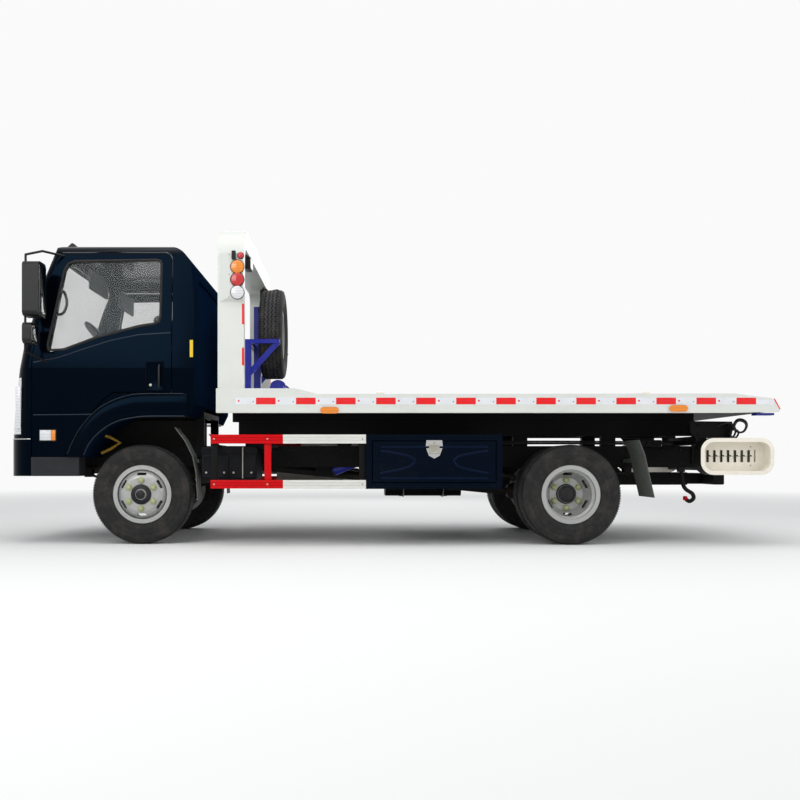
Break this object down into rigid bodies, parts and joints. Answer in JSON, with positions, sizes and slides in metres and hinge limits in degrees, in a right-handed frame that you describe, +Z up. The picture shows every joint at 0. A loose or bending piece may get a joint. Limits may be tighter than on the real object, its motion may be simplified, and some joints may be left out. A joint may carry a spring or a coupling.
{
  "type": "flatbed tow truck",
  "caption": "Light two-axle recovery truck with a tilting, sliding flatbed, tilting cab, headboard with spare wheel and winch, toolbox, lever boxes and a rear underlift.",
  "frame": {"origin": "on the ground, midway along and across the whole truck", "axes": "+X to the front of the truck, +Y to its left, +Z up"},
  "size_m": [5.9949, 2.48, 2.466],
  "materials": {
    "chassis_black": "satin",
    "cast_black": "rough",
    "engine_grey": "rough",
    "exhaust_steel": "satin",
    "tank_metal": "satin",
    "battery_plastic": "matte",
    "guard_red": "gloss",
    "toolbox_navy": "gloss",
    "mudguard_grey": "matte",
    "lever_cream": "gloss",
    "lamp_red": "gloss",
    "tyre": "matte",
    "rim_silver": "satin",
    "cab_navy": "gloss",
    "window_glass": "gloss",
    "lamp_clear": "gloss",
    "trim_black": "matte",
    "step_grey": "matte",
    "interior_grey": "matte",
    "seat_fabric": "matte",
    "rod_chrome": "polished",
    "cylinder_black": "satin",
    "bed_white": "gloss",
    "lamp_amber": "gloss",
    "carrier_blue": "gloss"
  },
  "bodies": {
    "chassis": {"chassis_frame": "chassis_black", "front_axle": "cast_black", "rear_axle": "cast_black", "propshaft": "cast_black", "leaf_springs": "cast_black", "engine_block": "engine_grey", "exhaust": "exhaust_steel", "fuel_tank": "tank_metal", "battery_box": "battery_plastic", "side_guards": "guard_red", "toolbox": "toolbox_navy", "mudguards": "mudguard_grey", "lever_boxes": "lever_cream", "rear_bumper": "chassis_black", "tail_lamps": "lamp_red"},
    "cab": {"cab_shell": "cab_navy", "cab_glass": "window_glass", "headlamps": "lamp_clear", "roof_lamps": "trim_black", "front_grille": "trim_black", "front_bumper": "cab_navy", "cab_steps": "step_grey", "dashboard": "interior_grey", "seats": "seat_fabric"},
    "door_left": {"door_left": "cab_navy", "door_glass_left": "window_glass", "mirror_left": "trim_black"},
    "door_right": {"door_right": "cab_navy", "door_glass_right": "window_glass", "mirror_right": "trim_black"},
    "toolbox_door": {"toolbox_door": "toolbox_navy"},
    "knuckle_left": {"knuckle_left": "cast_black"},
    "knuckle_right": {"knuckle_right": "cast_black"},
    "tie_rod": {"tie_rod": "cast_black"},
    "wheel_front_left": {"tyre_front_left": "tyre", "rim_front_left": "rim_silver"},
    "wheel_front_right": {"tyre_front_right": "tyre", "rim_front_right": "rim_silver"},
    "wheels_rear_left": {"tyres_rear_left": "tyre", "rims_rear_left": "rim_silver"},
    "wheels_rear_right": {"tyres_rear_right": "tyre", "rims_rear_right": "rim_silver"},
    "tilt_frame": {"tilt_frame": "chassis_black", "slide_rod": "rod_chrome"},
    "bed": {"bed_deck": "bed_white", "headboard": "bed_white", "headboard_lamps": "lamp_amber", "spare_tyre": "tyre", "spare_rim": "rim_silver", "spare_carrier": "carrier_blue", "winch": "carrier_blue", "slide_barrel": "cylinder_black"},
    "ram_barrels": {"ram_barrels": "cylinder_black"},
    "ram_rods": {"ram_rods": "rod_chrome"},
    "lift_boom": {"lift_boom": "chassis_black"},
    "lift_arm": {"lift_arm": "chassis_black"}
  },
  "joints": [
    {"name": "cab_tilt", "type": "hinge", "parent": "chassis", "child": "cab", "pos_m": [2.8825, 0, 0.64], "axis": [0, 1, 0], "range_deg": [0, 45]},
    {"name": "door_left_hinge", "type": "hinge", "parent": "cab", "child": "door_left", "pos_m": [2.7675, 0.967, 1.5], "axis": [0, 0, -1], "range_deg": [0, 65]},
    {"name": "door_right_hinge", "type": "hinge", "parent": "cab", "child": "door_right", "pos_m": [2.7675, -0.967, 1.5], "axis": [0, 0, 1], "range_deg": [0, 65]},
    {"name": "toolbox_door_hinge", "type": "hinge", "parent": "chassis", "child": "toolbox_door", "pos_m": [-0.36, 1.122, 0.498], "axis": [-1, 0, 0], "range_deg": [0, 95]},
    {"name": "steer_left", "type": "hinge", "parent": "chassis", "child": "knuckle_left", "pos_m": [1.9225, 0.735, 0.39], "axis": [0, 0, 1], "range_deg": [-32, 32]},
    {"name": "steer_right", "type": "hinge", "parent": "chassis", "child": "knuckle_right", "pos_m": [1.9225, -0.735, 0.39], "axis": [0, 0, 1], "range_deg": [-32, 32]},
    {"name": "tie_rod_turn", "type": "hinge", "parent": "knuckle_left", "child": "tie_rod", "pos_m": [1.7725, 0.735, 0.306], "axis": [0, 0, 1], "range_deg": [-32, 32]},
    {"name": "wheel_front_left_spin", "type": "hinge", "parent": "knuckle_left", "child": "wheel_front_left", "pos_m": [1.9225, 0.83, 0.39], "axis": [0, 1, 0], "continuous": true},
    {"name": "wheel_front_right_spin", "type": "hinge", "parent": "knuckle_right", "child": "wheel_front_right", "pos_m": [1.9225, -0.83, 0.39], "axis": [0, 1, 0], "continuous": true},
    {"name": "wheels_rear_left_spin", "type": "hinge", "parent": "chassis", "child": "wheels_rear_left", "pos_m": [-1.4375, 0.8, 0.39], "axis": [0, 1, 0], "continuous": true},
    {"name": "wheels_rear_right_spin", "type": "hinge", "parent": "chassis", "child": "wheels_rear_right", "pos_m": [-1.4375, -0.8, 0.39], "axis": [0, 1, 0], "continuous": true},
    {"name": "bed_tilt", "type": "hinge", "parent": "chassis", "child": "tilt_frame", "pos_m": [-2.6355, 0, 0.915], "axis": [0, -1, 0], "range_deg": [0, 16]},
    {"name": "bed_slide", "type": "slide", "parent": "tilt_frame", "child": "bed", "axis": [-1, 0, 0], "range_m": [0, 3]},
    {"name": "ram_swing", "type": "hinge", "parent": "chassis", "child": "ram_barrels", "pos_m": [0.4825, 0, 0.56], "axis": [0, 1, 0], "range_deg": [0, 23.5]},
    {"name": "ram_extend", "type": "slide", "parent": "ram_barrels", "child": "ram_rods", "axis": [-0.9337, 0, 0.3579], "range_m": [0, 0.412]},
    {"name": "lift_boom_hinge", "type": "hinge", "parent": "chassis", "child": "lift_boom", "pos_m": [-2.0775, 0, 0.5], "axis": [0, -1, 0], "range_deg": [0, 8]},
    {"name": "lift_arm_slide", "type": "slide", "parent": "lift_boom", "child": "lift_arm", "axis": [-1, 0, 0], "range_m": [0, 0.35]}
  ],
  "couplings": [
    {"joint": "steer_right", "follows": "steer_left", "ratio": 1},
    {"joint": "tie_rod_turn", "follows": "steer_left", "ratio": -1},
    {"joint": "ram_swing", "follows": "bed_tilt", "ratio": 1.4531},
    {"joint": "ram_extend", "follows": "bed_tilt", "m_per_rad": 1.461}
  ]
}
